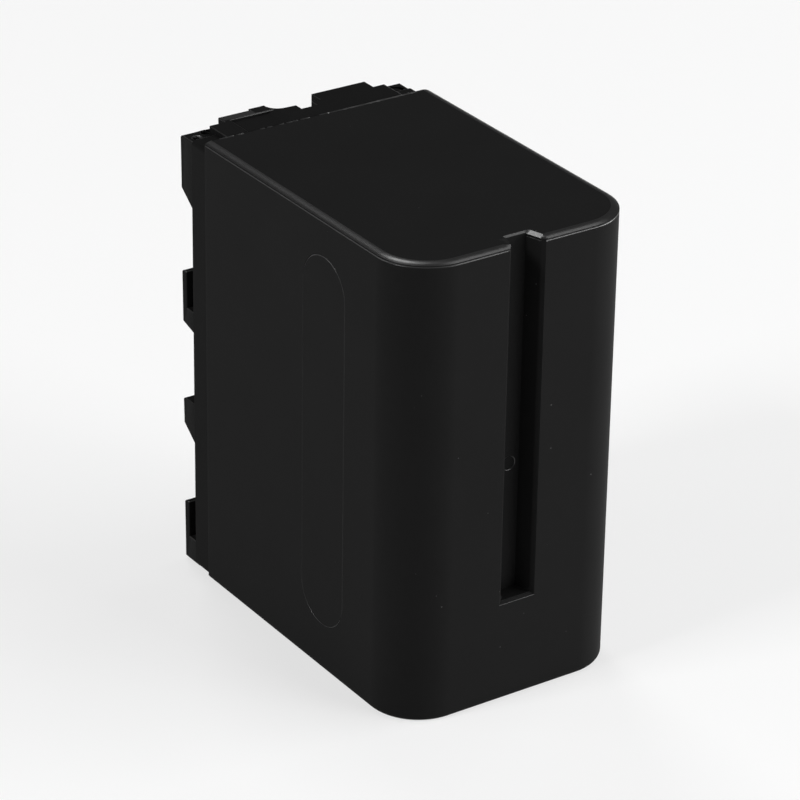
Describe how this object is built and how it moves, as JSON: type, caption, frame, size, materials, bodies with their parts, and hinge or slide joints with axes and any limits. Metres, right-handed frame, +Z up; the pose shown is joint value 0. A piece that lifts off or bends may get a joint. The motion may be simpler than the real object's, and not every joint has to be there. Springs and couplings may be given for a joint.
{
  "type": "camera monitor battery",
  "caption": "Slide-on rechargeable battery pack for camera monitors: grooved black moulded case, mount face with hooked rail tabs and terminals, cells and circuit board inside.",
  "frame": {"origin": "centre of the part's outline on the surface it stands on, at the plain end", "axes": "+Z up to the terminal end, +Y out of the mount face, -Y out of the grooved face, X across the width"},
  "size_m": [0.0384, 0.06, 0.0708],
  "materials": {
    "case_plastic": "fine spark-eroded moulded texture, satin",
    "cover_plastic": "moulded, satin",
    "cell_sleeve": "shrunk film sleeve on a steel can",
    "insulating_paper": "pressed paper card",
    "nickel": "rolled nickel strip, spot welded",
    "foam": "closed-cell foam sheet",
    "board_laminate": "glass-fibre laminate with solder mask",
    "chip_resin": "moulded chip resin",
    "contact_alloy": "gold-flashed spring alloy"
  },
  "bodies": {
    "root": {"case": "case_plastic", "cell_1": "cell_sleeve", "cell_2": "cell_sleeve", "cell_3": "cell_sleeve", "cell_4": "cell_sleeve", "cell_5": "cell_sleeve", "cell_6": "cell_sleeve", "charge_switch": "chip_resin", "circuit_board": "board_laminate", "data_contact": "contact_alloy", "discharge_switch": "chip_resin", "foot_cap_card": "insulating_paper", "foot_pad": "foam", "head_cap_card": "insulating_paper", "head_pad": "foam", "left_crown_foam": "foam", "mount_cover": "cover_plastic", "negative_contact": "contact_alloy", "negative_strip": "nickel", "positive_contact": "contact_alloy", "positive_strip": "nickel", "protection_chip": "chip_resin", "right_crown_foam": "foam", "sense_resistor": "chip_resin", "series_strip": "nickel", "temperature_sensor": "chip_resin"}
  },
  "joints": []
}
